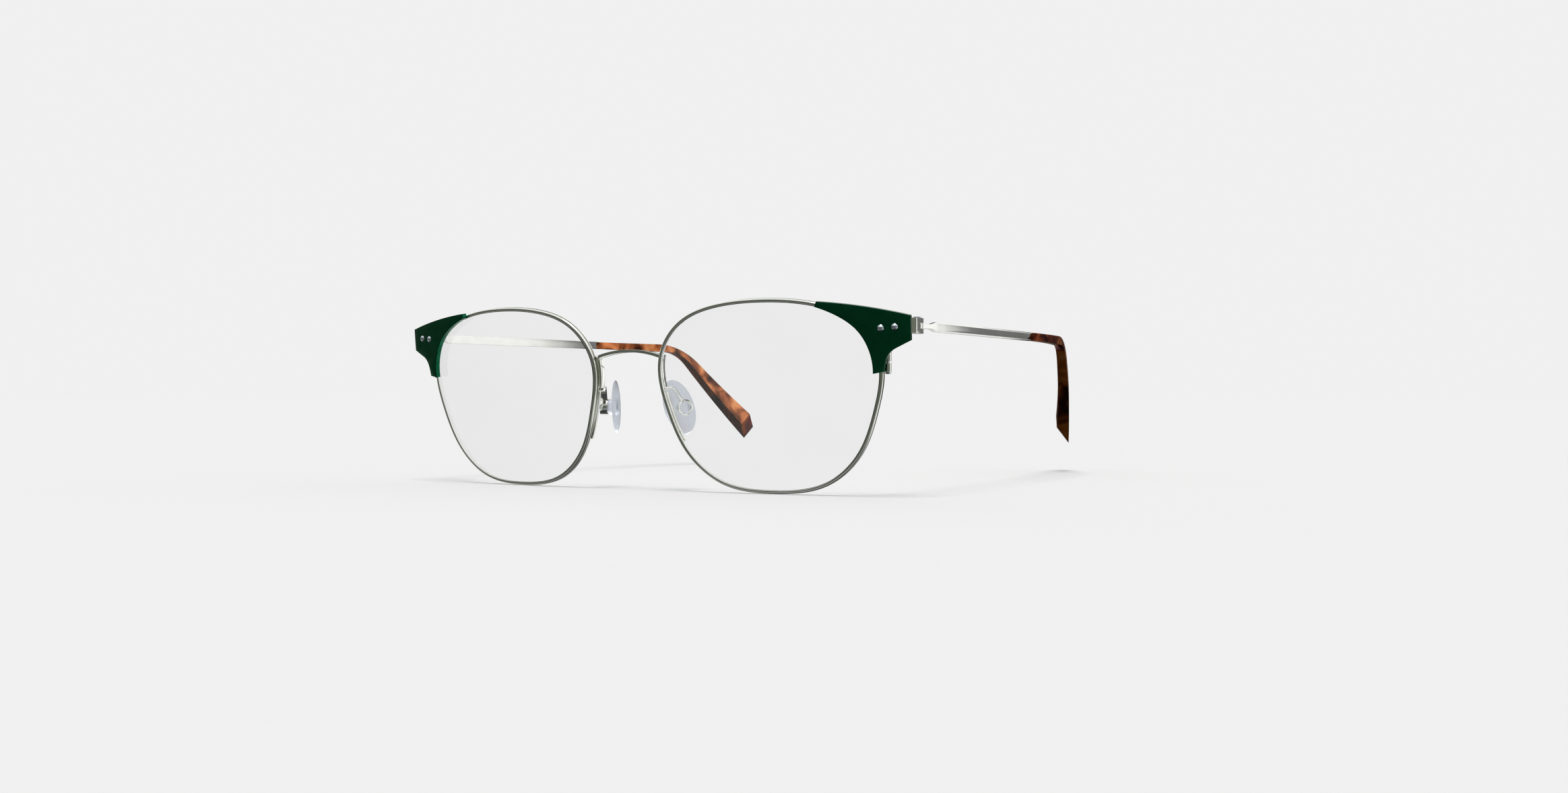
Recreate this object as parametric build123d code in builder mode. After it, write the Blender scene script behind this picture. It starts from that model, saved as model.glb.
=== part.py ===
"""Eyeglasses: thin full eyewires, riveted brow plates, folding temples with moulded tips.

Frame: +Z up, -Y the way the wearer looks, +X the wearer's left, millimetres.
The origin lies on the resting surface, below the middle of the footprint.
Every paired piece is made on the wearer's left and mirrored to the right.
"""
import os
from math import cos, radians, sin, tan

from build123d import *

os.makedirs("parts", exist_ok=True)

# ---------------------------------------------------------------- driving dimensions
# Datum: the outer brow rivet, which places the whole front.
rivet_x = 64.7
rivet_y = -66.4
rivet_z = 35.44

# Lens: 51 mm wide, centred 35 mm from the middle, on a gentle base curve.
lens_x = 35.05
lens_y = rivet_y - 1.6
lens_z = rivet_z - 14.35
face_wrap = 5.75
pantoscopic_tilt = 8.9
base_radius = 190.0
lens_thickness = 1.2

# Eyewire section, across the wire in the lens plane and along the line of sight.
wire_width = 0.85
wire_depth = 1.3
groove_width = 0.5
groove_depth = 0.25

# Brow plate: its own plane turns a little further round the face than the lens.
plate_wrap = 11.9
plate_tilt = 9.1
plate_thickness = 1.1
rivet_spots = ((0, 0), (-2.95, -0.2))
rivet_shank = 0.4
rivet_head = 0.73
rivet_dome = 0.42

# Hinge: upright pin through two ears of the end piece and one tongue of the temple.
pin_x = 66.8
pin_y = rivet_y + 6.9
hinge_z = rivet_z + 0.4
hinge_height = 3.2
ear_radius = 1.3
tongue_radius = 1.2
tongue_height = 1.0
washer_height = 0.1
pin_radius = 0.5
running_clearance = 0.03

# Temple bar, from the neck behind the hinge to the moulded tip.
bar_start = 6.7
bar_height = 2.1
bar_thickness = 1.0
bar_bevel = 0.32
bar_x = 67.9
bar_inward_slope = 0.029
tip_start_y = rivet_y + 73.5
tang_length = 12.0

# Moulded tip: side shape as (distance behind its own start, height above the hinge middle).
tip_height = 1.9
tip_thickness = 1.8
tip_top_bend = (34.7, 1.1)
tip_bottom_bend = (34.9, -1.2)
tip_top_end = (66.1, -25.3)
tip_bottom_end = (62.6, -28.9)
tip_top_bend_radius = 24.0
tip_bottom_bend_radius = 13.5
tip_inward_radius = 154.0
tip_growth = 1.45
tip_lead = 1.0
wedge_corner = (50.5, 58.7, -19.2)
wedge_direction = (-0.926, 0.016, -0.378)

# Nose pad, its push-in stem and the ring that holds it.
pad_splay = 30.0
pad_lean = 22.8
pad_length = 12.8
pad_width = 7.6
pad_thickness = 1.94
ring_centre = (11.27, rivet_y + 3.2, rivet_z - 16.65)
ring_outer = 1.8
ring_inner = 1.4
strip_width = 1.7
strip_thickness = 0.45
pad_offset = 2.8
stem_radius = 1.3
boss_radius = 1.75
pad_gap = 0.25
plug_reach = 0.6

# ---------------------------------------------------------------- reference planes
lens_plane = Plane(
    origin=(lens_x, lens_y, lens_z),
    x_dir=(cos(radians(face_wrap)), sin(radians(face_wrap)), 0),
    z_dir=(tan(radians(face_wrap)), -1, -tan(radians(pantoscopic_tilt))),
)
curve_centre = lens_plane.from_local_coords((0, 0, -base_radius))
plate_plane = Plane(
    origin=(rivet_x, rivet_y + 0.3, rivet_z),
    x_dir=(cos(radians(plate_wrap)), sin(radians(plate_wrap)), 0),
    z_dir=(tan(radians(plate_wrap)), -1, -tan(radians(plate_tilt))),
)
pad_axis = Vector(-cos(radians(pad_splay)), sin(radians(pad_splay)), 0)
pad_across = Vector(sin(radians(pad_splay)), cos(radians(pad_splay)), 0)
ring_plane = Plane(origin=ring_centre, x_dir=pad_across, z_dir=-pad_axis)
bar_direction = Vector(-bar_inward_slope, 1, 0).normalized()
bar_outward = Vector(1, bar_inward_slope, 0).normalized()

# Half of the lens shape, from the top middle round to the bottom middle.
half_outline = [
    (0, 20.6),
    (12, 19.5),
    (20.5, 16),
    (25.9, 8),
    (24.6, -3),
    (20.6, -12.2),
    (12.5, -19.1),
    (0, -21),
]
outline_half_width = 25.9
outline_half_height = 20.8
wire_half = wire_width / 2
depth_half = wire_depth / 2
plate_front = depth_half + plate_thickness


def write(piece, name):
    """Label one finished piece and write it as a STEP file."""
    piece.part.label = name
    export_step(piece.part, f"parts/{name}.step")


def write_pair(piece, name):
    """Write the wearer's left piece, and its mirror image for the right."""
    write(piece, name + "_left")
    with BuildPart() as twin:
        mirror(piece.part, about=Plane.YZ)
    write(twin, name + "_right")


def lens_blank(grow, front, back):
    """The lens shape grown by an amount, curved, between two depths from its middle surface."""
    spread = 1 + grow / outline_half_width
    rise = 1 + grow / outline_half_height
    outer_side = [(x * spread, y * rise) for x, y in half_outline]
    nose_side = [(-x, y) for x, y in reversed(outer_side)]
    with BuildPart() as blank:
        with BuildSketch(lens_plane.offset(-12)):
            with BuildLine():
                Spline(*outer_side, tangents=[(1, 0), (-1, 0)])
                Spline(*nose_side, tangents=[(-1, 0), (1, 0)])
            make_face()
        extrude(amount=24)
        with Locations(curve_centre):
            Sphere(base_radius + front, mode=Mode.INTERSECT)
            Sphere(base_radius + back, mode=Mode.SUBTRACT)
    return blank.part


# ---------------------------------------------------------------- lenses and eyewires
# The lens has a thin tongue all round its edge that sits in the eyewire's groove.
with BuildPart() as lens:
    add(lens_blank(-wire_half, lens_thickness / 2, -lens_thickness / 2))
    add(lens_blank(groove_depth - wire_half - 0.05, 0.2, -0.2))
write_pair(lens, "lens")

# The eyewire is a closed loop, cut through at the closing block so that the lens can go in.
split_z = rivet_z - 7.15
split_gap = 0.3
wire_loop = lens_blank(wire_half, depth_half, -depth_half)
with BuildPart() as rim:
    add(wire_loop)
    add(lens_blank(-wire_half, 3, -3), mode=Mode.SUBTRACT)
    add(lens_blank(groove_depth - wire_half, groove_width / 2, -groove_width / 2), mode=Mode.SUBTRACT)
    with Locations((lens_x + 26, rivet_y + 2, split_z)):
        Box(6, 8, split_gap, mode=Mode.SUBTRACT)
write_pair(rim, "rim")

# ---------------------------------------------------------------- closing blocks
# Two half barrels soldered to the ends of the eyewire, drawn together by one screw.
block_spot = (62.05, rivet_y + 2.75)
block_radius = 0.75
block_height = 2.0
block_base = split_z - split_gap / 2 - block_height
screw_radius = 0.35
screw_head = 0.55
screw_head_height = 0.35
for name, base in (
    ("closing_block_upper", split_z + split_gap / 2),
    ("closing_block_lower", block_base),
):
    with BuildPart() as block:
        with BuildSketch(Plane.XY.offset(base)):
            with Locations(block_spot):
                Circle(block_radius)
            with Locations((block_spot[0] - 0.6, block_spot[1] - 0.3)):
                Rectangle(1.2, 0.9)
            with Locations(block_spot):
                Circle(screw_radius, mode=Mode.SUBTRACT)
        extrude(amount=block_height)
        add(wire_loop, mode=Mode.SUBTRACT)
    write_pair(block, name)

with BuildPart() as closing_screw:
    with BuildSketch(Plane.XY.offset(block_base)):
        with Locations(block_spot):
            Circle(screw_radius)
    extrude(amount=2 * block_height + split_gap)
    with BuildSketch(Plane.XY.offset(block_base - screw_head_height)):
        with Locations(block_spot):
            Circle(screw_head)
    extrude(amount=screw_head_height)
    with BuildSketch(Plane.XY.offset(block_base - screw_head_height)):
        with Locations(block_spot):
            Rectangle(3 * screw_head, 0.18)
    extrude(amount=0.15, mode=Mode.SUBTRACT)
write_pair(closing_screw, "closing_screw")

# ---------------------------------------------------------------- brow plates
# A flat plate over the upper outer corner of the eyewire, with a leg down its outer side.
with BuildPart() as brow_plate:
    with BuildSketch(plate_plane.offset(-8)):
        with BuildLine():
            Line((-17.15, 4.4), (-16.8, 5.5))
            ThreePointArc((-16.8, 5.5), (-6, 4.25), (3.4, 2.3))
            Line((3.4, 2.3), (3.4, -2.85))
            Line((3.4, -2.85), (0, -4.5))
            Spline((0, -4.5), (-1.55, -5.95), (-2.45, -9.25), tangents=[(-1, -0.5), (-0.15, -1)])
            Line((-2.45, -9.25), (-4.8, -9.65))
            Spline((-4.8, -9.65), (-5.55, -4.7), (-7.9, -0.7), (-11.6, 2.1), (-17.15, 4.4))
        make_face()
        with Locations(*rivet_spots):
            Circle(rivet_shank, mode=Mode.SUBTRACT)
    extrude(amount=16)
    with Locations(curve_centre):
        Sphere(base_radius + plate_front, mode=Mode.INTERSECT)
        Sphere(base_radius + depth_half, mode=Mode.SUBTRACT)
write_pair(brow_plate, "brow_plate")

# ---------------------------------------------------------------- end pieces
# A flat tab under the brow plate, which turns back at its outer end into two hinge ears.
tab_depth = 1.0
tab_length = 9.2
slot_height = tongue_height + 2 * washer_height
lug_front = [(pin_x - ear_radius, rivet_y + 2.3), (67.3, rivet_y + 2.8), (pin_x + ear_radius, rivet_y + 3.7)]
with BuildPart() as end_piece:
    with BuildSketch(plate_plane.offset(-8)):
        with Locations((-2.0, hinge_z - rivet_z)):
            Rectangle(tab_length, hinge_height)
    extrude(amount=16)
    with Locations(curve_centre):
        Sphere(base_radius + depth_half, mode=Mode.INTERSECT)
        Sphere(base_radius + depth_half - tab_depth, mode=Mode.SUBTRACT)
    add(wire_loop, mode=Mode.SUBTRACT)
    with BuildSketch(Plane.XY.offset(hinge_z - hinge_height / 2)):
        with BuildLine():
            Polyline(*lug_front, (pin_x + ear_radius, pin_y))
            ThreePointArc(
                (pin_x + ear_radius, pin_y),
                (pin_x, pin_y + ear_radius),
                (pin_x - ear_radius, pin_y),
            )
            Line((pin_x - ear_radius, pin_y), lug_front[0])
        make_face()
    extrude(amount=hinge_height)
    with Locations((pin_x, pin_y, hinge_z)):
        Box(4, 3.0, slot_height, mode=Mode.SUBTRACT)
        Cylinder(pin_radius, 2 * hinge_height, mode=Mode.SUBTRACT)
    with BuildSketch(plate_plane.offset(-3)):
        with Locations(*rivet_spots):
            Circle(rivet_shank)
    extrude(amount=6, mode=Mode.SUBTRACT)
write_pair(end_piece, "end_piece")

# ---------------------------------------------------------------- brow rivets
# Domed heads on the plate, shanks right through to the back of the end piece's tab.
dome_radius = (rivet_head**2 + rivet_dome**2) / (2 * rivet_dome)
with BuildPart() as rivets:
    with BuildSketch(plate_plane.offset(-8)):
        with Locations(*rivet_spots):
            Circle(rivet_shank)
    extrude(amount=16)
    with Locations(curve_centre):
        Sphere(base_radius + plate_front + rivet_dome / 2, mode=Mode.INTERSECT)
        Sphere(base_radius + depth_half - tab_depth, mode=Mode.SUBTRACT)
    for x, y in rivet_spots:
        outward = (plate_plane.from_local_coords((x, y, 0)) - curve_centre).normalized()
        seat = Plane(origin=curve_centre + outward * (base_radius + plate_front), z_dir=outward)
        with BuildSketch(Plane(origin=seat.origin, x_dir=seat.x_dir, z_dir=-seat.y_dir)):
            with BuildLine():
                Line((0, 0), (rivet_head, 0))
                ThreePointArc(
                    (rivet_head, 0),
                    (
                        dome_radius * sin(radians(20)),
                        rivet_dome - dome_radius * (1 - cos(radians(20))),
                    ),
                    (0, rivet_dome),
                )
                Line((0, rivet_dome), (0, 0))
            make_face()
        revolve(axis=Axis(seat.origin, outward))
write_pair(rivets, "brow_rivets")

# ---------------------------------------------------------------- hinge screws and washers
screw_cap_radius = 0.85
screw_cap_height = 0.3
screw_top = hinge_z + hinge_height / 2
with BuildPart() as hinge_screw:
    with BuildSketch(Plane.XY.offset(hinge_z - hinge_height / 2)):
        with Locations((pin_x, pin_y)):
            Circle(pin_radius)
    extrude(amount=hinge_height)
    with BuildSketch(Plane.XY.offset(screw_top)):
        with Locations((pin_x, pin_y)):
            Circle(screw_cap_radius)
    extrude(amount=screw_cap_height)
    with BuildSketch(Plane.XY.offset(screw_top + screw_cap_height)):
        with Locations((pin_x, pin_y)):
            Rectangle(3 * screw_cap_radius, 0.22)
    extrude(amount=-0.18, mode=Mode.SUBTRACT)
write_pair(hinge_screw, "hinge_screw")

with BuildPart() as washers:
    for base in (hinge_z - tongue_height / 2 - washer_height, hinge_z + tongue_height / 2):
        with BuildSketch(Plane.XY.offset(base)):
            with Locations((pin_x, pin_y)):
                Circle(tongue_radius)
                Circle(pin_radius, mode=Mode.SUBTRACT)
        extrude(amount=washer_height)
write_pair(washers, "hinge_washers")

# ---------------------------------------------------------------- temples
# Tongue, narrow neck, flare, long flat bar with bevelled outer edges, and a tang in the tip.


def bar_plane(distance, side_shift=0.0):
    """Plane square to the bar, at a distance behind the hinge pin."""
    start = Vector(bar_x, pin_y + bar_start, hinge_z)
    along = (distance - bar_start) / bar_direction.Y
    origin = start + bar_direction * along + bar_outward * side_shift
    return Plane(origin=origin, x_dir=bar_outward, z_dir=bar_direction)


def bar_section(height, thickness, bevel):
    """Outline of the bar: flat inner face, outer face with both edges bevelled."""
    inner, outer = -thickness / 2, thickness / 2
    top = height / 2
    Polyline(
        (inner, -top),
        (outer - bevel, -top),
        (outer, bevel - top),
        (outer, top - bevel),
        (outer - bevel, top),
        (inner, top),
        close=True,
    )


neck_end = 4.4
neck_bevel = 0.12
tip_start = tip_start_y - pin_y
with BuildPart() as temple:
    with BuildSketch(bar_plane(0.6, pin_x - bar_x - 0.2)):
        with BuildLine():
            bar_section(tongue_height, bar_thickness, neck_bevel)
        make_face()
    with BuildSketch(bar_plane(neck_end, -0.35)):
        with BuildLine():
            bar_section(tongue_height, bar_thickness * 0.9, neck_bevel)
        make_face()
    with BuildSketch(bar_plane(bar_start)):
        with BuildLine():
            bar_section(bar_height, bar_thickness, bar_bevel)
        make_face()
    loft(ruled=True)
    with BuildSketch(bar_plane(bar_start)):
        with BuildLine():
            bar_section(bar_height, bar_thickness, bar_bevel)
        make_face()
    extrude(amount=(tip_start - bar_start) / bar_direction.Y)
    with BuildSketch(bar_plane(tip_start)) as tang_section:
        Rectangle(0.7, 0.9)
    extrude(amount=tang_length)
    with Locations((pin_x, pin_y, hinge_z)):
        Cylinder(tongue_radius, tongue_height)
        Cylinder(pin_radius + running_clearance, 2 * hinge_height, mode=Mode.SUBTRACT)
write_pair(temple, "temple")

# ---------------------------------------------------------------- temple tips
# The side shape bends down behind the ear; seen from above the tip thickens and curves in to
# the head. Its start is cut square to the bar, and its end is cut to a wedge on the inner side.
side_plane = Plane(origin=(80, tip_start_y, hinge_z), x_dir=(0, 1, 0), z_dir=(1, 0, 0))
tip_run = 70.0
tip_drift = tip_run * bar_inward_slope + tip_run**2 / (2 * tip_inward_radius)
tip_x = bar_plane(tip_start).origin.X
lead_x = tip_x + tip_lead * bar_inward_slope
half_thick = tip_thickness / 2
half_high = tip_height / 2
with BuildPart() as temple_tip:
    with BuildSketch(side_plane.offset(-40)):
        with BuildLine():
            FilletPolyline(
                (-tip_lead, half_high), tip_top_bend, tip_top_end, radius=tip_top_bend_radius
            )
            Line(tip_top_end, tip_bottom_end)
            FilletPolyline(
                tip_bottom_end, tip_bottom_bend, (-tip_lead, -half_high), radius=tip_bottom_bend_radius
            )
            Line((-tip_lead, -half_high), (-tip_lead, half_high))
        make_face()
    extrude(amount=40)
    with BuildSketch(Plane.XY.offset(hinge_z - 40), mode=Mode.PRIVATE) as top_shape:
        with BuildLine():
            outer = TangentArc(
                (lead_x + half_thick, tip_start_y - tip_lead),
                (tip_x + half_thick - tip_drift + tip_growth, tip_start_y + tip_run),
                tangent=(-bar_inward_slope, 1),
            )
            inner = TangentArc(
                (lead_x - half_thick, tip_start_y - tip_lead),
                (tip_x - half_thick - tip_drift - tip_growth, tip_start_y + tip_run),
                tangent=(-bar_inward_slope, 1),
            )
            Line(outer @ 0, inner @ 0)
            Line(outer @ 1, inner @ 1)
        make_face()
    extrude(top_shape.sketch, amount=80, mode=Mode.INTERSECT)
    with Locations(bar_plane(tip_start)):
        Box(10, 10, 5, align=(Align.CENTER, Align.CENTER, Align.MAX), mode=Mode.SUBTRACT)
    with Locations(
        Plane(
            origin=(wedge_corner[0], tip_start_y + wedge_corner[1], hinge_z + wedge_corner[2]),
            x_dir=(0, 1, 0),
            z_dir=wedge_direction,
        )
    ):
        Box(40, 40, 20, align=(Align.CENTER, Align.CENTER, Align.MIN), mode=Mode.SUBTRACT)
    extrude(tang_section.sketch, amount=tang_length, mode=Mode.SUBTRACT)
write_pair(temple_tip, "temple_tip")

# ---------------------------------------------------------------- bridge
# One bar: an arch between the eyewires, whose ends run down behind their nasal sides.
arch_underside_z = rivet_z - 4.4
arch_height = 0.65
arch_half_span = 8.4
arch_drop = 1.3
arch_front_y = rivet_y - 3.2
arch_depth = 1.7
leg_depth = 1.2
leg_low_z = rivet_z - 12.4
leg_high_z = rivet_z - 5.0
with BuildPart() as bridge_leg:
    add(lens_blank(1.0, -depth_half, -depth_half - leg_depth))
    add(lens_blank(-0.5, 0, -6), mode=Mode.SUBTRACT)
    with Locations((8.6, rivet_y, (leg_high_z + leg_low_z) / 2)):
        Box(6, 20, leg_high_z - leg_low_z, mode=Mode.INTERSECT)
with BuildPart() as bridge:
    with BuildSketch(Plane.XZ.offset(-arch_front_y)):
        with BuildLine():
            under = ThreePointArc(
                (-arch_half_span, arch_underside_z - arch_drop),
                (0, arch_underside_z),
                (arch_half_span, arch_underside_z - arch_drop),
            )
            over = ThreePointArc(
                (-arch_half_span - 0.9, arch_underside_z - arch_drop + 0.45),
                (0, arch_underside_z + arch_height),
                (arch_half_span + 0.9, arch_underside_z - arch_drop + 0.45),
            )
            Line(under @ 0, over @ 0)
            Line(under @ 1, over @ 1)
        make_face()
    extrude(amount=-arch_depth)
    add(bridge_leg.part)
    mirror(bridge_leg.part, about=Plane.YZ)
    add(wire_loop, mode=Mode.SUBTRACT)
    mirror(wire_loop, about=Plane.YZ, mode=Mode.SUBTRACT)
write(bridge, "bridge")

# ---------------------------------------------------------------- pad arms
# One flat strip: up behind the eyewire, over a hairpin, down and round into a ring.
arm_low_z = rivet_z - 24.0
arm_high_z = rivet_z - 13.2
with BuildPart() as pad_arm:
    add(lens_blank(0.7, -depth_half, -depth_half - strip_thickness))
    add(lens_blank(0.7 - strip_width, 0, -6), mode=Mode.SUBTRACT)
    with Locations((10.0, rivet_y, (arm_low_z + arm_high_z) / 2)):
        Box(9, 20, arm_high_z - arm_low_z, mode=Mode.INTERSECT)
    with BuildSketch(ring_plane.offset(-strip_width / 2)):
        Circle(ring_outer)
        with BuildLine():
            hairpin = Spline((-5.1, 3.0), (-4.75, 4.05), (-3.5, 4.45), (-2.1, 3.4), (-0.85, 1.5))
        trace(hairpin, line_width=strip_thickness)
        Circle(ring_inner, mode=Mode.SUBTRACT)
    extrude(amount=strip_width)
    add(wire_loop, mode=Mode.SUBTRACT)
    add(bridge_leg.part, mode=Mode.SUBTRACT)
write_pair(pad_arm, "pad_arm")

# ---------------------------------------------------------------- nose pads
# A clear cushion with a boss that faces the ring and a plug that sits inside it.
pad_centre = Vector(*ring_centre) + pad_axis * pad_offset
pad_long = Vector(0, 0, cos(radians(pad_lean))) - pad_across * sin(radians(pad_lean))
pad_plane = Plane(origin=pad_centre, x_dir=pad_long, z_dir=pad_axis)
ring_face = strip_width / 2
with BuildPart() as pad_cushion:
    Sphere(1)
    scale(by=(pad_length / 2, pad_width / 2, pad_thickness / 2))
with BuildPart() as nose_pad:
    add(pad_plane * pad_cushion.part)
    with BuildSketch(ring_plane.offset(-pad_offset)):
        Circle(boss_radius)
    extrude(amount=pad_offset - ring_face - pad_gap)
    with BuildSketch(ring_plane.offset(-pad_offset)):
        Circle(stem_radius)
    extrude(amount=pad_offset - ring_face + plug_reach)
write_pair(nose_pad, "nose_pad")
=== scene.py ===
"""Thin metal eyeglasses with riveted green brow plates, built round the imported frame.

Metres, +Z up, -Y the way the wearer looks, +X the wearer's left.
"""
from math import cos, radians, sin, tan

import bmesh
import bpy
import numpy as np
from mathutils import Matrix, Vector


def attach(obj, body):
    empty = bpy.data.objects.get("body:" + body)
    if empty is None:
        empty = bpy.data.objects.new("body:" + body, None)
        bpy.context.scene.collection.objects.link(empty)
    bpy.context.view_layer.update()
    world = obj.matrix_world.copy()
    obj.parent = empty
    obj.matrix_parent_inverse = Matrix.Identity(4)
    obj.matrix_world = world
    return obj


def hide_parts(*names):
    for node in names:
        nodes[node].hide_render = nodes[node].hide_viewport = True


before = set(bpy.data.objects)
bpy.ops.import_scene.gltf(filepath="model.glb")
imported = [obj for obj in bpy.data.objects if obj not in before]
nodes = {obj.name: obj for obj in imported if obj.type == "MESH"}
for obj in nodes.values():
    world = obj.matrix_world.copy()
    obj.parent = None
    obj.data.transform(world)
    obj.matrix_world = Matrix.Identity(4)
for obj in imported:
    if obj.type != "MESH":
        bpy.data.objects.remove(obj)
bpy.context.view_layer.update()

# ================================================================ studio
# Seamless white sweep under one wide soft light from above. Tall dark flags and pale panels
# stand round the table, out of view, for the polished metal and the tips to mirror.
backdrop_level = 0.871
floor_reach = 30.0
floor_albedo = 0.50
floor_tooth = 0.002
sun_spread = 25
sun_strength = 2.84

scene = bpy.context.scene
scene.view_settings.view_transform = "Standard"
scene.view_settings.look = "None"


def new_tree(owner):
    """An empty node tree on a material or world, with a function that adds a node to it."""
    owner.use_nodes = True
    tree = owner.node_tree
    tree.nodes.clear()

    def add(kind, **settings):
        node = tree.nodes.new(kind)
        for key, value in settings.items():
            if hasattr(node, key):
                setattr(node, key, value)
            else:
                node.inputs[key.replace("_", " ")].default_value = value
        return node

    return tree, add


def set_stops(ramp, stops):
    """Give a colour ramp its stops: position and grey level or colour."""
    elements = ramp.color_ramp.elements
    while len(elements) > 1:
        elements.remove(elements[-1])
    for index, (position, level) in enumerate(stops):
        stop = elements[0] if index == 0 else elements.new(position)
        stop.position = position
        colour = level if isinstance(level, tuple) else (level, level, level)
        stop.color = (*colour, 1)


room = bpy.data.worlds.new("studio_room")
scene.world = room
tree, add = new_tree(room)
link = tree.links.new
direction = add("ShaderNodeTexCoord")
axes = add("ShaderNodeSeparateXYZ")
link(direction.outputs["Generated"], axes.inputs[0])
bearing = add("ShaderNodeMath", operation="ARCTAN2")
link(axes.outputs["X"], bearing.inputs[0])
link(axes.outputs["Y"], bearing.inputs[1])
bearing_share = add("ShaderNodeMapRange")
bearing_share.inputs["From Min"].default_value = radians(-180)
bearing_share.inputs["From Max"].default_value = radians(180)
link(bearing.outputs[0], bearing_share.inputs["Value"])


def share(degrees):
    """Where a bearing lies on the ramp of walls, which starts and ends straight behind."""
    return (degrees + 180) / 360


walls = add("ShaderNodeValToRGB")
set_stops(
    walls,
    [
        (share(-180), (0.085, 0.095, 0.075)),
        (share(-100), (0.11, 0.12, 0.10)),
        (share(-84), (0.12, 0.13, 0.11)),
        (share(-74), 0.90),
        (share(-62), 0.90),
        (share(-50), 0.10),
        (share(-5), 0.12),
        (share(12), 0.16),
        (share(27), 0.18),
        (share(30.5), 0.85),
        (share(33), 1.05),
        (share(49), 1.05),
        (share(53), 0.35),
        (share(60), 0.95),
        (share(78), 0.95),
        (share(86), (0.14, 0.15, 0.12)),
        (share(124), (0.16, 0.17, 0.14)),
        (share(180), (0.085, 0.095, 0.075)),
    ],
)
link(bearing_share.outputs[0], walls.inputs[0])
in_front = add("ShaderNodeMapRange")
in_front.inputs["From Min"].default_value = 0.15
in_front.inputs["From Max"].default_value = -0.35
link(axes.outputs["Y"], in_front.inputs["Value"])


def band(stops):
    """How much of the ceiling or floor is seen at a height, as a ramp over the upward direction."""
    ramp = add("ShaderNodeValToRGB")
    set_stops(ramp, [((z + 1) / 2, level) for z, level in stops])
    height = add("ShaderNodeMapRange")
    height.inputs["From Min"].default_value = -1
    height.inputs["From Max"].default_value = 1
    link(axes.outputs["Z"], height.inputs["Value"])
    link(height.outputs[0], ramp.inputs[0])
    return ramp


def mixed(a, b, factor):
    """Two colours blended by a factor."""
    blend = add("ShaderNodeMix", data_type="RGBA")
    link(factor, blend.inputs["Factor"])
    link(a, blend.inputs["A"])
    link(b, blend.inputs["B"])
    return blend.outputs["Result"]


open_cover = band([(-1, 1), (-0.30, 1), (-0.12, 0), (0.22, 0), (0.38, 1), (1, 1)])
front_cover = band([(-1, 1), (-0.70, 1), (-0.45, 0), (0.25, 0), (0.70, 1), (1, 1)])
cover = mixed(open_cover.outputs[0], front_cover.outputs[0], in_front.outputs[0])
cap = band([(-1, 0.05), (-0.70, 0.07), (-0.56, 0.85), (-0.2, 0.85), (0.2, 1.0), (1, 1.0)])
seen_room = mixed(walls.outputs[0], cap.outputs[0], cover)
ray = add("ShaderNodeLightPath")
plain_view = add("ShaderNodeMath", operation="MAXIMUM")
link(ray.outputs["Is Camera Ray"], plain_view.inputs[0])
link(ray.outputs["Is Transmission Ray"], plain_view.inputs[1])
backdrop = add("ShaderNodeRGB")
backdrop.outputs[0].default_value = (backdrop_level, backdrop_level, backdrop_level, 1)
background = add("ShaderNodeBackground")
link(mixed(seen_room, backdrop.outputs[0], plain_view.outputs[0]), background.inputs["Color"])
world_out = add("ShaderNodeOutputWorld")
link(background.outputs[0], world_out.inputs["Surface"])

floor_mesh = bpy.data.meshes.new("floor")
floor_mesh.from_pydata(
    [(x * floor_reach, y * floor_reach, 0) for x, y in ((-1, -1), (1, -1), (1, 1), (-1, 1))],
    [],
    [(0, 1, 2, 3)],
)
floor = bpy.data.objects.new("floor", floor_mesh)
scene.collection.objects.link(floor)
paper = bpy.data.materials.new("paper_sweep")
tree, add = new_tree(paper)
link = tree.links.new
tooth = add("ShaderNodeTexNoise", Scale=180.0, Detail=3.0)
where = add("ShaderNodeTexCoord")
link(where.outputs["Object"], tooth.inputs["Vector"])
tone = add("ShaderNodeMapRange")
tone.inputs["To Min"].default_value = floor_albedo - floor_tooth
tone.inputs["To Max"].default_value = floor_albedo + floor_tooth
link(tooth.outputs[0], tone.inputs["Value"])
matt = add("ShaderNodeBsdfDiffuse")
link(tone.outputs[0], matt.inputs["Color"])
clear = add("ShaderNodeBsdfTransparent")
ray = add("ShaderNodeLightPath")
chosen = add("ShaderNodeMixShader")
link(ray.outputs["Is Glossy Ray"], chosen.inputs[0])
link(matt.outputs[0], chosen.inputs[1])
link(clear.outputs[0], chosen.inputs[2])
out = add("ShaderNodeOutputMaterial")
link(chosen.outputs[0], out.inputs["Surface"])
floor_mesh.materials.append(paper)

overhead = bpy.data.lights.new("overhead", "SUN")
overhead.energy = sun_strength
overhead.angle = radians(sun_spread)
overhead_lamp = bpy.data.objects.new("overhead", overhead)
overhead_lamp.rotation_euler = (radians(14), radians(6), 0)
scene.collection.objects.link(overhead_lamp)

lens_mm = 35.53
camera_turn = 30
camera_data = bpy.data.cameras.new("camera")
camera_data.sensor_width = 36
camera_data.lens = lens_mm
camera_data.clip_start = 0.01
camera_data.clip_end = 200
camera = bpy.data.objects.new("camera", camera_data)
camera.location = (0.2041, -0.3529, 0.02114)
camera.rotation_euler = (radians(90), 0, radians(camera_turn))
scene.collection.objects.link(camera)
scene.camera = camera

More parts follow.
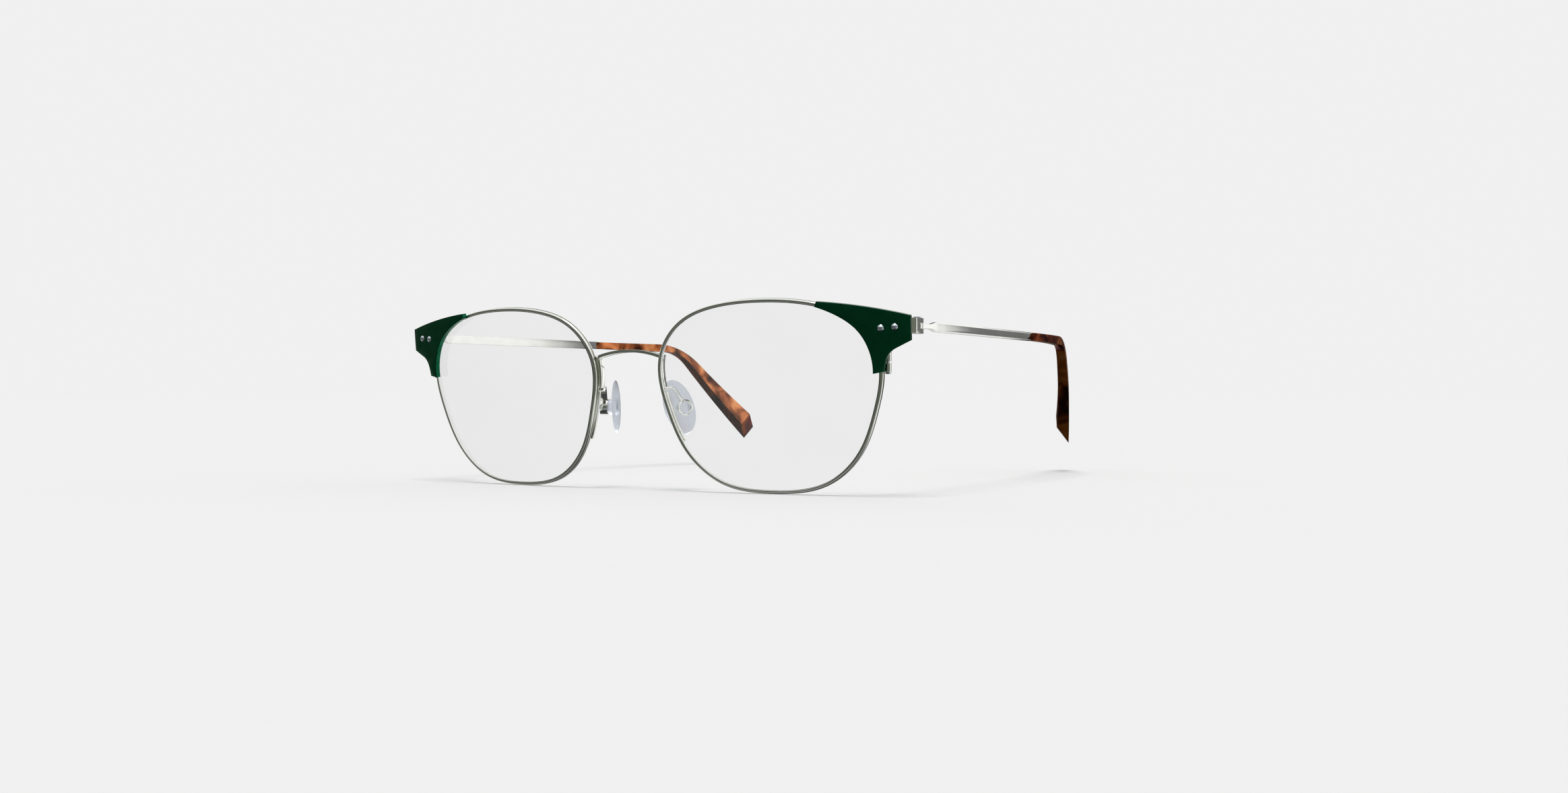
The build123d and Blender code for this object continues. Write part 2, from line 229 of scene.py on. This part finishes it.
# ================================================================ eyewires
# Grooved nickel-silver wire, plated and polished, bent to the lens shape and cut through at
# the closing block. The wire's section is swept round the outline, then domed to the lens.
MM = 0.001
rivet = Vector((64.7, -66.4, 35.44))
lens_spot = Vector((35.05, rivet.y - 1.6, rivet.z - 14.35))
face_wrap = 5.75
pantoscopic_tilt = 8.9
base_radius = 190.0
wire_width = 0.85
wire_depth = 1.3
wire_corner = 0.3
groove_width = 0.5
groove_depth = 0.25
closing_z = rivet.z - 7.15
closing_gap = 0.3
half_outline = [
    (0, 20.6),
    (12, 19.5),
    (20.5, 16),
    (25.9, 8),
    (24.6, -3),
    (20.6, -12.2),
    (12.5, -19.1),
    (0, -21),
]
outline_half_width = 25.9
outline_half_height = 20.8


def plane_matrix(origin, x_dir, z_dir):
    """Where a drawing plane stands: its own x, y and z directions and its origin."""
    x_axis, z_axis = Vector(x_dir).normalized(), Vector(z_dir).normalized()
    y_axis = z_axis.cross(x_axis)
    placed = Matrix((x_axis, y_axis, z_axis)).transposed().to_4x4()
    placed.translation = Vector(origin)
    return placed


lens_plane = plane_matrix(
    lens_spot,
    (cos(radians(face_wrap)), sin(radians(face_wrap)), 0),
    (tan(radians(face_wrap)), -1, -tan(radians(pantoscopic_tilt))),
)


def smooth_line(points, start_pull, end_pull, steps):
    """A smooth curve through the points, leaving and arriving in the given directions."""
    p = np.array(points, float)
    gaps = np.linalg.norm(np.diff(p, axis=0), axis=1)
    knots = np.concatenate([[0], np.cumsum(gaps)])
    count = len(p)
    system = np.zeros((count, count))
    target = np.zeros((count, 2))
    system[0, 0] = system[-1, -1] = 1
    target[0] = np.array(start_pull, float) / np.linalg.norm(start_pull)
    target[-1] = np.array(end_pull, float) / np.linalg.norm(end_pull)
    for i in range(1, count - 1):
        before, after = gaps[i - 1], gaps[i]
        system[i, i - 1 : i + 2] = after, 2 * (before + after), before
        slopes = (p[i] - p[i - 1]) / before * after + (p[i + 1] - p[i]) / after * before
        target[i] = 3 * slopes
    pulls = np.linalg.solve(system, target)
    places = np.linspace(0, knots[-1], steps + 1)
    out = []
    for place in places:
        i = min(int(np.searchsorted(knots, place, side="right")) - 1, count - 2)
        h = gaps[i]
        t = (place - knots[i]) / h
        out.append(
            (2 * t**3 - 3 * t**2 + 1) * p[i]
            + (t**3 - 2 * t**2 + t) * h * pulls[i]
            + (3 * t**2 - 2 * t**3) * p[i + 1]
            + (t**3 - t**2) * h * pulls[i + 1]
        )
    return np.array(out)


side_line = smooth_line(half_outline, (1, 0), (-1, 0), 160)
nose_line = np.array([(-x, y) for x, y in side_line[::-1]])
lens_line = np.vstack([side_line[:-1], nose_line[:-1]])


def grown(line, amount):
    """The lens outline made larger or smaller all round."""
    return line * (1 + amount / outline_half_width, 1 + amount / outline_half_height)


def dome(x, y, depth):
    """How far out the lens surface stands at a place, for a depth from its middle surface."""
    radius = base_radius + depth
    return (radius * radius - x * x - y * y) ** 0.5 - base_radius


def finish_mesh(mesh, sharp_degrees=35):
    """Shade a finished mesh smooth, with creases where faces meet sharply."""
    for face in mesh.polygons:
        face.use_smooth = True
    mesh.set_sharp_from_angle(angle=radians(sharp_degrees))
    return mesh


def other_side(mesh, name):
    """The mirror image of a left piece, for the right, with its faces outward again."""
    twin = mesh.copy()
    twin.name = name
    twin.transform(Matrix.Scale(-1, 4, (1, 0, 0)))
    twin.flip_normals()
    return twin


def place(mesh, name, body, replaced, slot, material):
    """Make a finished mesh a piece: it rides on a body and stands for its CAD nodes."""
    mesh.materials.clear()
    mesh.materials.append(material)
    piece = bpy.data.objects.new(name, mesh)
    scene.collection.objects.link(piece)
    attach(piece, body)
    if replaced:
        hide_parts(*replaced)
    return piece


def polish_group():
    """Fine polishing marks and cloudy hand marks, shared by every metal and moulded piece."""
    group = bpy.data.node_groups.new("polish_marks", "ShaderNodeTree")
    sockets = (
        ("Scale", "INPUT", 900.0),
        ("Shine", "INPUT", 0.1),
        ("Spread", "INPUT", 0.05),
        ("Roughness", "OUTPUT", 0.0),
        ("Height", "OUTPUT", 0.0),
    )
    for label, way, value in sockets:
        socket = group.interface.new_socket(label, in_out=way, socket_type="NodeSocketFloat")
        if way == "INPUT":
            socket.default_value = value
    join = group.links.new
    given = group.nodes.new("NodeGroupInput")
    result = group.nodes.new("NodeGroupOutput")
    spot = group.nodes.new("ShaderNodeTexCoord")
    fine = group.nodes.new("ShaderNodeTexNoise")
    fine.inputs["Detail"].default_value = 6
    join(given.outputs["Scale"], fine.inputs["Scale"])
    join(spot.outputs["Object"], fine.inputs["Vector"])
    cloud = group.nodes.new("ShaderNodeTexNoise")
    cloud.inputs["Scale"].default_value = 90
    cloud.inputs["Detail"].default_value = 2
    join(spot.outputs["Object"], cloud.inputs["Vector"])
    both = group.nodes.new("ShaderNodeMath")
    both.operation = "MULTIPLY"
    join(fine.outputs[0], both.inputs[0])
    join(cloud.outputs[0], both.inputs[1])
    spread = group.nodes.new("ShaderNodeMath")
    spread.operation = "MULTIPLY_ADD"
    join(both.outputs[0], spread.inputs[0])
    join(given.outputs["Spread"], spread.inputs[1])
    join(given.outputs["Shine"], spread.inputs[2])
    join(spread.outputs[0], result.inputs["Roughness"])
    join(fine.outputs[0], result.inputs["Height"])
    return group


polish_marks = polish_group()


def marked_surface(add, link, shader, scale, shine, spread, bump):
    """Drive a shader's roughness and bump from the polishing marks."""
    marks = add("ShaderNodeGroup", node_tree=polish_marks)
    marks.inputs["Scale"].default_value = scale
    marks.inputs["Shine"].default_value = shine
    marks.inputs["Spread"].default_value = spread
    link(marks.outputs["Roughness"], shader.inputs["Roughness"])
    relief = add("ShaderNodeBump", Strength=bump, Distance=0.00002)
    link(marks.outputs["Height"], relief.inputs["Height"])
    link(relief.outputs[0], shader.inputs["Normal"])


def metal(name, dark, light, shine, spread, scale, bump):
    """Polished plated metal, its colour drifting slightly between two tones."""
    finish = bpy.data.materials.new(name)
    tree, add = new_tree(finish)
    link = tree.links.new
    shader = add("ShaderNodeBsdfPrincipled", Metallic=1.0)
    marked_surface(add, link, shader, scale, shine, spread, bump)
    spot = add("ShaderNodeTexCoord")
    drift = add("ShaderNodeTexNoise", Scale=260.0, Detail=3.0)
    link(spot.outputs["Object"], drift.inputs["Vector"])
    tones = add("ShaderNodeValToRGB")
    set_stops(tones, [(0.35, dark), (0.65, light)])
    link(drift.outputs[0], tones.inputs[0])
    link(tones.outputs[0], shader.inputs["Base Color"])
    out = add("ShaderNodeOutputMaterial")
    link(shader.outputs[0], out.inputs["Surface"])
    return finish


polished_steel = metal(
    "polished_steel", (0.84, 0.85, 0.80), (0.92, 0.92, 0.88), 0.045, 0.07, 2600.0, 0.04
)

# the wire's section: rounded outside corners, and the groove that holds the lens edge
half_w, half_d = wire_width / 2, wire_depth / 2
section = []
for corner_x, corner_y, start in (
    (half_w, half_d, 0),
    (-half_w, half_d, 90),
    (-half_w, -half_d, 180),
    (half_w, -half_d, 270),
):
    if start == 180:
        section += [
            (-half_w, groove_width / 2),
            (groove_depth - half_w, groove_width / 2),
            (groove_depth - half_w, -groove_width / 2),
            (-half_w, -groove_width / 2),
        ]
    for step in range(5):
        turn = radians(start + 22.5 * step)
        centre = (
            corner_x - wire_corner * (1 if corner_x > 0 else -1),
            corner_y - wire_corner * (1 if corner_y > 0 else -1),
        )
        section.append(
            (centre[0] + wire_corner * cos(turn), centre[1] + wire_corner * sin(turn))
        )


def line_object(name, points, cyclic):
    """A plain curve object along the points, in millimetres."""
    data = bpy.data.curves.new(name, "CURVE")
    data.dimensions = "3D"
    spline = data.splines.new("POLY")
    spline.points.add(len(points) - 1)
    for point, spot in zip(spline.points, points):
        point.co = (*spot, 1) if len(spot) == 3 else (*spot, 0, 1)
    spline.use_cyclic_u = cyclic
    item = bpy.data.objects.new(name, data)
    scene.collection.objects.link(item)
    return item


def wire_tree():
    """Sweep a section along a flat line, then dome the result to the lens surface."""
    group = bpy.data.node_groups.new("domed_wire", "GeometryNodeTree")
    for label, kind in (
        ("Line", "NodeSocketGeometry"),
        ("Section", "NodeSocketObject"),
        ("Base Radius", "NodeSocketFloat"),
        ("Finish", "NodeSocketMaterial"),
    ):
        group.interface.new_socket(label, in_out="INPUT", socket_type=kind)
    group.interface.new_socket("Wire", in_out="OUTPUT", socket_type="NodeSocketGeometry")
    join = group.links.new

    def node(kind, **settings):
        made = group.nodes.new(kind)
        for key, value in settings.items():
            setattr(made, key, value)
        return made

    given, result = node("NodeGroupInput"), node("NodeGroupOutput")
    level = node("GeometryNodeSetCurveNormal", mode="Z_UP")
    join(given.outputs["Line"], level.inputs["Curve"])
    picked = node("GeometryNodeObjectInfo")
    join(given.outputs["Section"], picked.inputs["Object"])
    swept = node("GeometryNodeCurveToMesh")
    swept.inputs["Fill Caps"].default_value = True
    join(level.outputs[0], swept.inputs["Curve"])
    join(picked.outputs["Geometry"], swept.inputs["Profile Curve"])
    spot, parts = node("GeometryNodeInputPosition"), node("ShaderNodeSeparateXYZ")
    join(spot.outputs[0], parts.inputs[0])
    radius = node("ShaderNodeMath", operation="ADD")
    join(given.outputs["Base Radius"], radius.inputs[0])
    join(parts.outputs["Z"], radius.inputs[1])
    squares = []
    for source in (radius.outputs[0], parts.outputs["X"], parts.outputs["Y"]):
        square = node("ShaderNodeMath", operation="MULTIPLY")
        join(source, square.inputs[0])
        join(source, square.inputs[1])
        squares.append(square.outputs[0])
    total = squares[0]
    for square in squares[1:]:
        less = node("ShaderNodeMath", operation="SUBTRACT")
        join(total, less.inputs[0])
        join(square, less.inputs[1])
        total = less.outputs[0]
    root = node("ShaderNodeMath", operation="SQRT")
    join(total, root.inputs[0])
    lowered = node("ShaderNodeMath", operation="SUBTRACT")
    join(root.outputs[0], lowered.inputs[0])
    join(given.outputs["Base Radius"], lowered.inputs[1])
    placed = node("ShaderNodeCombineXYZ")
    join(parts.outputs["X"], placed.inputs["X"])
    join(parts.outputs["Y"], placed.inputs["Y"])
    join(lowered.outputs[0], placed.inputs["Z"])
    moved = node("GeometryNodeSetPosition")
    join(swept.outputs[0], moved.inputs["Geometry"])
    join(placed.outputs[0], moved.inputs["Position"])
    real = node("GeometryNodeRealizeInstances")
    join(moved.outputs[0], real.inputs[0])
    coated = node("GeometryNodeSetMaterial")
    join(real.outputs[0], coated.inputs["Geometry"])
    join(given.outputs["Finish"], coated.inputs["Material"])
    join(coated.outputs[0], result.inputs[0])
    return group


def grown_mesh(source, tree, values, name):
    """Run a geometry tree on an object with named inputs, and take the plain mesh."""
    modifier = source.modifiers.new("grow", "NODES")
    modifier.node_group = tree
    for item in tree.interface.items_tree:
        if item.item_type == "SOCKET" and item.in_out == "INPUT" and item.name in values:
            modifier[item.identifier] = values[item.name]
    view = bpy.context.evaluated_depsgraph_get()
    mesh = bpy.data.meshes.new_from_object(source.evaluated_get(view))
    source.modifiers.remove(modifier)
    mesh.name = name
    return mesh


# the outline starts just below the closing cut and runs right round to just above it
heights = np.array([(lens_plane @ Vector((x, y, 0))).z for x, y in side_line])


def at_height(level):
    """The place on the outer side of the outline at a height above the table."""
    i = int(np.argmax(heights < level))
    t = (heights[i - 1] - level) / (heights[i - 1] - heights[i])
    return side_line[i - 1] * (1 - t) + side_line[i] * t, i


below, below_index = at_height(closing_z - closing_gap / 2)
above, above_index = at_height(closing_z + closing_gap / 2)
wire_line = np.vstack([[below], lens_line[below_index:], lens_line[:above_index], [above]])
wire_path = line_object("wire_path", wire_line, False)
wire_section = line_object("wire_section", section, True)
wire_mesh = grown_mesh(
    wire_path,
    wire_tree(),
    {"Section": wire_section, "Base Radius": base_radius, "Finish": polished_steel},
    "eyewire_left",
)
for helper in (wire_path, wire_section):
    bpy.data.objects.remove(helper)
wire_mesh.transform(Matrix.Scale(MM, 4) @ lens_plane)
finish_mesh(wire_mesh)
place(wire_mesh, "eyewire_left", "front", ["rim_left"], "polished_steel", polished_steel)
place(
    other_side(wire_mesh, "eyewire_right"),
    "eyewire_right",
    "front",
    ["rim_right"],
    "polished_steel",
    polished_steel,
)

# ================================================================ lenses
# Clear coated plastic, domed, edged with a thin tongue that sits in the wire's groove.
lens_thickness = 1.2
tongue_half = 0.2
tongue_reach = groove_depth - 0.06


def glass(name, tint, rough, ior, spread):
    """Clear material that lets the lamps through, faintly uneven in its polish."""
    finish = bpy.data.materials.new(name)
    tree, add = new_tree(finish)
    link = tree.links.new
    shader = add("ShaderNodeBsdfPrincipled", IOR=ior)
    shader.inputs["Transmission Weight"].default_value = 1.0
    spot = add("ShaderNodeTexCoord")
    haze = add("ShaderNodeTexNoise", Scale=60.0, Detail=4.0)
    link(spot.outputs["Object"], haze.inputs["Vector"])
    tones = add("ShaderNodeValToRGB")
    set_stops(tones, [(0.3, tuple(c * 0.985 for c in tint)), (0.7, tint)])
    link(haze.outputs[0], tones.inputs[0])
    link(tones.outputs[0], shader.inputs["Base Color"])
    polish = add("ShaderNodeMapRange")
    polish.inputs["To Min"].default_value = rough
    polish.inputs["To Max"].default_value = rough + spread
    link(haze.outputs[0], polish.inputs["Value"])
    link(polish.outputs[0], shader.inputs["Roughness"])
    through = add("ShaderNodeBsdfTransparent")
    through.inputs[0].default_value = (*(0.5 + 0.5 * c for c in tint), 1)
    ray = add("ShaderNodeLightPath")
    chosen = add("ShaderNodeMixShader")
    link(ray.outputs["Is Shadow Ray"], chosen.inputs[0])
    link(shader.outputs[0], chosen.inputs[1])
    link(through.outputs[0], chosen.inputs[2])
    out = add("ShaderNodeOutputMaterial")
    link(chosen.outputs[0], out.inputs["Surface"])
    return finish


lens_glass = glass("lens_clear", (0.985, 0.99, 0.985), 0.0, 1.5, 0.004)
rings = []
edge_line = grown(lens_line, -half_w)
tongue_line = grown(lens_line, tongue_reach - half_w)
ring_shares = np.linspace(1, 0.04, 25)
for depth, shares in ((lens_thickness / 2, ring_shares[::-1]), (-lens_thickness / 2, ring_shares)):
    layer = [
        [(x * s, y * s, dome(x * s, y * s, depth)) for x, y in edge_line] for s in shares
    ]
    if depth > 0:
        rings += layer
        rings += [
            [(x, y, dome(x, y, tongue_half)) for x, y in edge_line],
            [(x, y, dome(x, y, tongue_half)) for x, y in tongue_line],
            [(x, y, dome(x, y, -tongue_half)) for x, y in tongue_line],
            [(x, y, dome(x, y, -tongue_half)) for x, y in edge_line],
        ]
    else:
        rings += layer
around = len(edge_line)
verts = [v for ring in rings for v in ring]
faces = []
for level in range(len(rings) - 1):
    for i in range(around):
        j = (i + 1) % around
        inner, outer = level * around, (level + 1) * around
        faces.append((inner + i, inner + j, outer + j, outer + i))
verts += [(0, 0, dome(0, 0, lens_thickness / 2)), (0, 0, dome(0, 0, -lens_thickness / 2))]
top_middle, bottom_middle = len(verts) - 2, len(verts) - 1
last = (len(rings) - 1) * around
for i in range(around):
    j = (i + 1) % around
    faces.append((top_middle, j, i))
    faces.append((bottom_middle, last + i, last + j))


def mesh_from(name, verts, faces, placed):
    """A closed mesh from its corners and faces, put in place, with its faces outward."""
    mesh = bpy.data.meshes.new(name)
    mesh.from_pydata([tuple(v) for v in verts], [], faces)
    mesh.transform(Matrix.Scale(MM, 4) @ placed)
    shape = bmesh.new()
    shape.from_mesh(mesh)
    bmesh.ops.recalc_face_normals(shape, faces=shape.faces)
    shape.to_mesh(mesh)
    shape.free()
    return mesh


lens_mesh = finish_mesh(mesh_from("lens_piece_left", verts, faces, lens_plane))
place(lens_mesh, "lens_piece_left", "front", ["lens_left"], "lens", lens_glass)
place(
    other_side(lens_mesh, "lens_piece_right"),
    "lens_piece_right",
    "front",
    ["lens_right"],
    "lens",
    lens_glass,
)

# ================================================================ metal fittings
# Bridge, pad arms, end pieces and closing blocks, stamped or turned, then tumbled so that
# every edge is slightly eased before plating.


def eased_copy(node, name, width, degrees=28):
    """A copy of a CAD piece with its sharp edges eased, as tumbling leaves them."""
    mesh = nodes[node].data.copy()
    mesh.name = name
    shape = bmesh.new()
    shape.from_mesh(mesh)
    bmesh.ops.remove_doubles(shape, verts=shape.verts, dist=1e-6)
    bmesh.ops.dissolve_limit(
        shape, angle_limit=radians(0.4), verts=shape.verts, edges=shape.edges
    )
    if width:
        sharp = [
            e for e in shape.edges if e.is_manifold and e.calc_face_angle(0) > radians(degrees)
        ]
        bmesh.ops.bevel(
            shape,
            geom=sharp,
            offset=width * MM,
            offset_type="OFFSET",
            segments=2,
            profile=0.6,
            affect="EDGES",
            clamp_overlap=True,
        )
    shape.to_mesh(mesh)
    shape.free()
    if mesh.attributes.get("custom_normal"):
        mesh.attributes.remove(mesh.attributes["custom_normal"])
    return finish_mesh(mesh, degrees)


screw_steel = metal(
    "screw_steel", (0.52, 0.58, 0.66), (0.62, 0.67, 0.74), 0.10, 0.12, 3200.0, 0.05
)
place(
    eased_copy("bridge", "bridge_piece", 0.08),
    "bridge_piece",
    "front",
    ["bridge"],
    "polished_steel",
    polished_steel,
)
for side in ("left", "right"):
    for part, width in (
        ("pad_arm", 0.06),
        ("end_piece", 0.07),
        ("closing_block_upper", 0.06),
        ("closing_block_lower", 0.06),
    ):
        node = f"{part}_{side}"
        place(
            eased_copy(node, f"{part}_piece_{side}", width),
            f"{part}_piece_{side}",
            "front",
            [node],
            "polished_steel",
            polished_steel,
        )
    for part, width in (("closing_screw", 0.03), ("hinge_screw", 0.04), ("brow_rivets", 0.0)):
        node = f"{part}_{side}"
        place(
            eased_copy(node, f"{part}_piece_{side}", width),
            f"{part}_piece_{side}",
            "front",
            [node],
            "screw_steel",
            screw_steel,
        )

# ================================================================ hinge washers
# Thin milky nylon rings that keep the hinge from grinding.
nylon = bpy.data.materials.new("washer_nylon")
tree, add = new_tree(nylon)
link = tree.links.new
shader = add("ShaderNodeBsdfPrincipled")
marked_surface(add, link, shader, 4000.0, 0.35, 0.2, 0.05)
spot = add("ShaderNodeTexCoord")
drift = add("ShaderNodeTexNoise", Scale=900.0, Detail=2.0)
link(spot.outputs["Object"], drift.inputs["Vector"])
tones = add("ShaderNodeValToRGB")
set_stops(tones, [(0.3, (0.70, 0.70, 0.66)), (0.7, (0.80, 0.80, 0.77))])
link(drift.outputs[0], tones.inputs[0])
link(tones.outputs[0], shader.inputs["Base Color"])
out = add("ShaderNodeOutputMaterial")
link(shader.outputs[0], out.inputs["Surface"])
for side in ("left", "right"):
    washers = nodes[f"hinge_washers_{side}"]
    washers.data.materials.clear()
    washers.data.materials.append(nylon)

# ================================================================ brow plates
# Stamped metal plates in satin dark green lacquer, slightly thin and bright along the edges.
green_lacquer = bpy.data.materials.new("green_lacquer")
tree, add = new_tree(green_lacquer)
link = tree.links.new
shader = add("ShaderNodeBsdfPrincipled", Metallic=0.92, IOR=1.45)
marked_surface(add, link, shader, 1500.0, 0.20, 0.08, 0.02)
spot = add("ShaderNodeTexCoord")
drift = add("ShaderNodeTexNoise", Scale=420.0, Detail=5.0)
link(spot.outputs["Object"], drift.inputs["Vector"])
tones = add("ShaderNodeValToRGB")
set_stops(tones, [(0.3, (0.0035, 0.090, 0.038)), (0.7, (0.0050, 0.112, 0.048))])
link(drift.outputs[0], tones.inputs[0])
link(tones.outputs[0], shader.inputs["Base Color"])
out = add("ShaderNodeOutputMaterial")
link(shader.outputs[0], out.inputs["Surface"])
for side in ("left", "right"):
    node = f"brow_plate_{side}"
    place(
        eased_copy(node, f"brow_plate_piece_{side}", 0.12),
        f"brow_plate_piece_{side}",
        "front",
        [node],
        "green_lacquer",
        green_lacquer,
    )

# ================================================================ temples
# Flat spring bars with bevelled outer edges, a thin neck and a rolled tongue at the hinge.
for side in ("left", "right"):
    node = f"temple_{side}"
    place(
        eased_copy(node, f"temple_piece_{side}", 0.05, 18),
        f"temple_piece_{side}",
        f"temple_arm_{side}",
        [node],
        "polished_steel",
        polished_steel,
    )

# ================================================================ temple tips
# Moulded acetate pushed over the bar: dark tortoise with glowing amber patches, polished.
# Its colour is painted darker on the downward-facing sides, as painted shade.
tortoise = bpy.data.materials.new("tortoise")
tree, add = new_tree(tortoise)
link = tree.links.new
shader = add("ShaderNodeBsdfPrincipled", Metallic=0.85, IOR=1.5)
shader.inputs["Specular Tint"].default_value = (0.45, 0.22, 0.10, 1)
shader.inputs["Coat Weight"].default_value = 0.05
shader.inputs["Coat Roughness"].default_value = 0.05
marked_surface(add, link, shader, 1800.0, 0.14, 0.08, 0.02)
spot = add("ShaderNodeTexCoord")
patches = add("ShaderNodeTexNoise", Scale=150.0, Detail=2.2, Roughness=0.45, Distortion=0.8)
link(spot.outputs["Object"], patches.inputs["Vector"])
tones = add("ShaderNodeValToRGB")
set_stops(
    tones,
    [
        (0.36, (0.050, 0.014, 0.005)),
        (0.46, (0.24, 0.068, 0.022)),
        (0.55, (0.56, 0.175, 0.062)),
        (0.64, (0.82, 0.32, 0.12)),
        (0.72, (0.92, 0.45, 0.22)),
    ],
)
link(patches.outputs[0], tones.inputs[0])
# painted shade: the tortoise colour is multiplied darker where the surface normal points downward
facing = add("ShaderNodeNewGeometry")
upward = add("ShaderNodeSeparateXYZ")
link(facing.outputs["Normal"], upward.inputs[0])
painted_underside_shade = add("ShaderNodeValToRGB")
set_stops(painted_underside_shade, [(0.32, (0.30, 0.24, 0.12)), (0.44, 1.0)])
from_below = add("ShaderNodeMapRange")
from_below.inputs["From Min"].default_value = -1
link(upward.outputs["Z"], from_below.inputs["Value"])
link(from_below.outputs[0], painted_underside_shade.inputs[0])
# the tortoise colour with the painted underside shade multiplied in
tones_with_painted_shade = add("ShaderNodeMix", data_type="RGBA", blend_type="MULTIPLY")
tones_with_painted_shade.inputs["Factor"].default_value = 1
link(tones.outputs[0], tones_with_painted_shade.inputs["A"])
link(painted_underside_shade.outputs[0], tones_with_painted_shade.inputs["B"])
link(tones_with_painted_shade.outputs["Result"], shader.inputs["Base Color"])
out = add("ShaderNodeOutputMaterial")
link(shader.outputs[0], out.inputs["Surface"])
for side in ("left", "right"):
    node = f"temple_tip_{side}"
    place(
        eased_copy(node, f"temple_tip_piece_{side}", 0.10, 18),
        f"temple_tip_piece_{side}",
        f"temple_arm_{side}",
        [node],
        "tortoise",
        tortoise,
    )

# ================================================================ nose pads
# Soft clear silicone moulded in one with the boss and plug that push into the arm's ring.
clear_silicone = glass("clear_silicone", (0.66, 0.70, 0.76), 0.28, 1.33, 0.12)
for side in ("left", "right"):
    node = f"nose_pad_{side}"
    pad = place(
        eased_copy(node, f"nose_pad_piece_{side}", 0.0, 40),
        f"nose_pad_piece_{side}",
        f"pad_{side}",
        [node],
        "clear_silicone",
        clear_silicone,
    )
